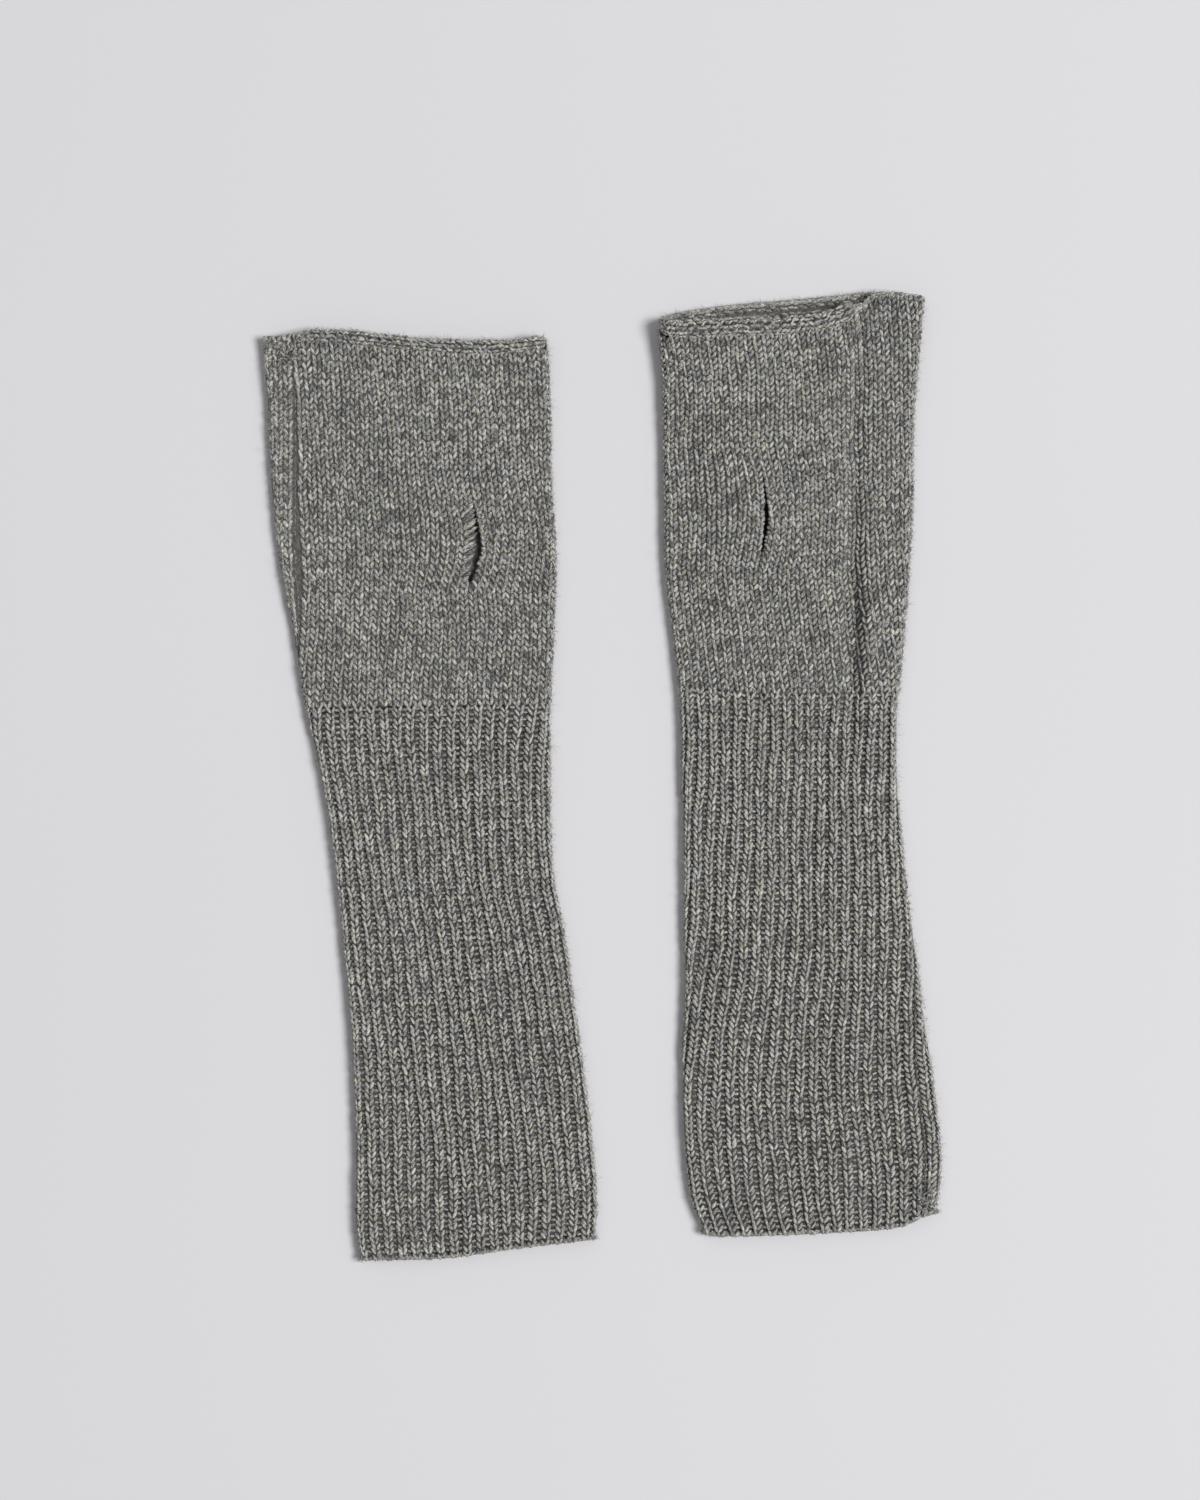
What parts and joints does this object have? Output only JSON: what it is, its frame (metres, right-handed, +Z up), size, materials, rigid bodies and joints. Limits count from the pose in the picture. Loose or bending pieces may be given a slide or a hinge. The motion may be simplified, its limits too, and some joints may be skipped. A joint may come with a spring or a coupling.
{
  "type": "pair of knitted arm warmers",
  "caption": "Pair of fingerless knitted arm warmers laid flat: plain-knit hands with a thumb slit and a rolled edge, and long ribbed cuffs for the forearms.",
  "frame": {"origin": "centre of the pair's footprint, on the surface that it lies on", "axes": "+Y along the warmers from the hems to the finger ends, +X from the left warmer to the right one, +Z up from the surface"},
  "size_m": [0.2206, 0.3138, 0.0129],
  "materials": {
    "plain_knit": "grey melange wool, plain knit, matt with a fine fuzz",
    "rib_knit": "grey melange wool, one by one rib, matt with a fine fuzz",
    "rolled_edge_knit": "grey melange wool, purl side of the plain knit rolled outwards",
    "seam_yarn": "grey wool yarn, linked side seam"
  },
  "bodies": {
    "root": {"left_hand": "plain_knit", "left_cuff": "rib_knit", "left_rolled_edge": "rolled_edge_knit", "left_side_seam": "seam_yarn", "right_hand": "plain_knit", "right_cuff": "rib_knit", "right_rolled_edge": "rolled_edge_knit", "right_side_seam": "seam_yarn"}
  },
  "joints": []
}
